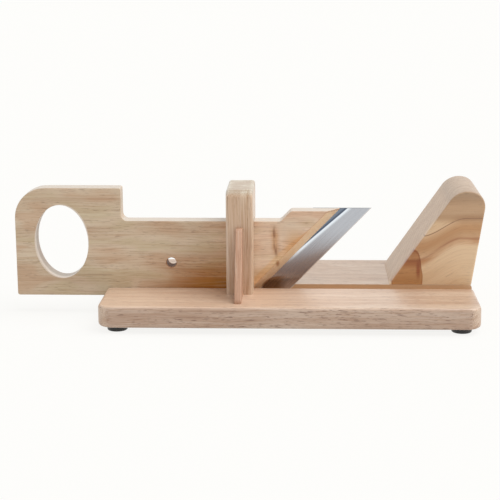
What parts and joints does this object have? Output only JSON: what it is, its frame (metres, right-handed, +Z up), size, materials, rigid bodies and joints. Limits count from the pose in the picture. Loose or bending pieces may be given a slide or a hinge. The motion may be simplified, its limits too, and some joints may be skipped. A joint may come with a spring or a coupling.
{
  "type": "sausage guillotine",
  "caption": "Wooden sausage cutter: a slanted blade on a sliding plank with a finger hole shears food against a wedge-shaped stop block on a grooved board.",
  "frame": {"origin": "middle of the whole object's length and depth, on the surface that its feet stand on, with the slider as pictured", "axes": "+X along the groove, from the handle towards the stop block; +Y from the landing in front to the stop block's board behind; +Z up"},
  "size_m": [0.4478, 0.2, 0.1245],
  "materials": {
    "board_wood": "pale rubberwood, oiled, satin",
    "post_wood": "pale rubberwood, oiled, satin",
    "brace_wood": "pinkish rubberwood, oiled, satin",
    "block_wood": "figured rubberwood, oiled, satin",
    "plank_wood": "rubberwood with a knot streak, oiled, satin",
    "blade_steel": "ground bevel, polished flat",
    "screw_steel": "zinc plated, satin",
    "foot_rubber": "smooth, slightly glossy"
  },
  "bodies": {
    "stand": {"base_board": "board_wood", "guide_post": "post_wood", "post_brace": "brace_wood", "stop_block": "block_wood", "post_screws": "screw_steel", "stop_block_screws": "screw_steel", "foot_screws": "screw_steel", "foot_front_left": "foot_rubber", "foot_front_right": "foot_rubber", "foot_rear_left": "foot_rubber", "foot_rear_right": "foot_rubber"},
    "slider": {"slider_plank": "plank_wood", "blade": "blade_steel", "blade_screws": "screw_steel"}
  },
  "joints": [
    {"name": "slider_travel", "type": "slide", "parent": "stand", "child": "slider", "axis": [1, 0, 0], "range_m": [-0.026, 0.098]}
  ]
}
